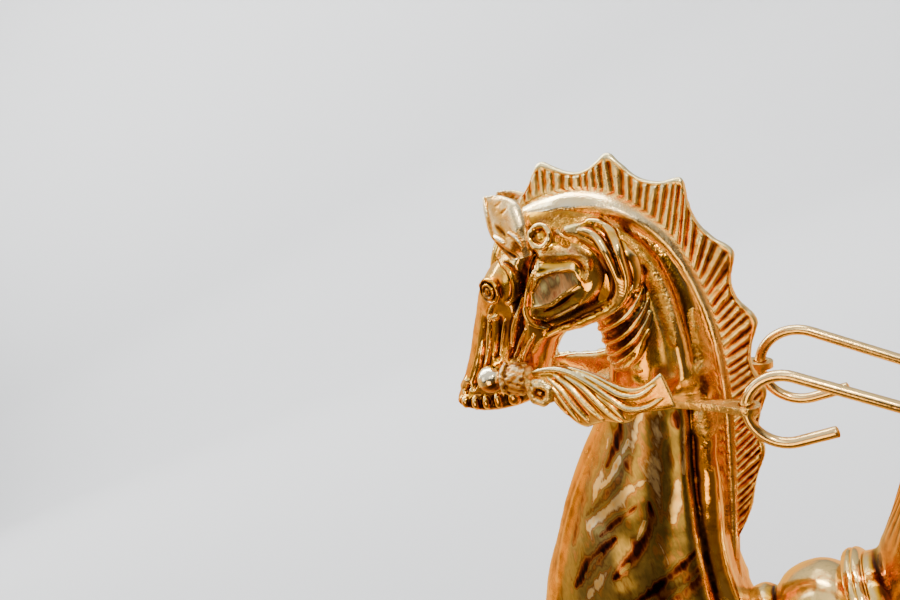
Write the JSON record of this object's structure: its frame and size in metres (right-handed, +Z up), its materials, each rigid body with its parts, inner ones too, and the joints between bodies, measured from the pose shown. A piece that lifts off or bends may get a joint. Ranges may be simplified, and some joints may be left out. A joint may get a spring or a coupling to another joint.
{
  "type": "gilt brass seahorse ornament of a gondola",
  "caption": "Horse-headed seahorse ornament off a gondola: finned arched neck, bridle with hooked rein rods that lift, turned tail with a fan, moulded screw-down foot.",
  "frame": {"origin": "middle of the foot's underside, on the floor, in the plane of symmetry", "axes": "+Z up, +X from the horse's nose to the tail, +Y to the horse's right side"},
  "size_m": [0.2658, 0.096, 0.337],
  "materials": {
    "polished_brass": "mirror polished, gilt, over hand-finished castings",
    "worn_brass": "as cast and gilt, polished on the high spots, darker in the grooves",
    "rod_brass": "drawn rod, brushed along its length"
  },
  "bodies": {
    "root": {"foot": "worn_brass", "neck_and_chest": "polished_brass", "head": "polished_brass", "crest_bead": "polished_brass", "mane_fin": "worn_brass", "forelock": "worn_brass", "neck_band": "polished_brass", "tail_stem": "polished_brass", "tail_ring": "polished_brass", "tail_fan": "polished_brass", "ear_left": "polished_brass", "bit_end_left": "polished_brass", "rein_knob_left": "polished_brass", "rein_frond_left": "worn_brass", "ear_right": "polished_brass", "bit_end_right": "polished_brass", "rein_knob_right": "polished_brass", "rein_frond_right": "worn_brass"},
    "rein_left": {"rein_rod_left": "rod_brass"},
    "rein_right": {"rein_rod_right": "rod_brass"}
  },
  "joints": [
    {"name": "rein_left_lift", "type": "hinge", "parent": "root", "child": "rein_left", "pos_m": [0.09273, -0.031, 0.18168], "axis": [0, -1, 0], "range_deg": [0, 80]},
    {"name": "rein_right_lift", "type": "hinge", "parent": "root", "child": "rein_right", "pos_m": [0.09507, 0.031, 0.18081], "axis": [0, -1, 0], "range_deg": [0, 80]}
  ]
}
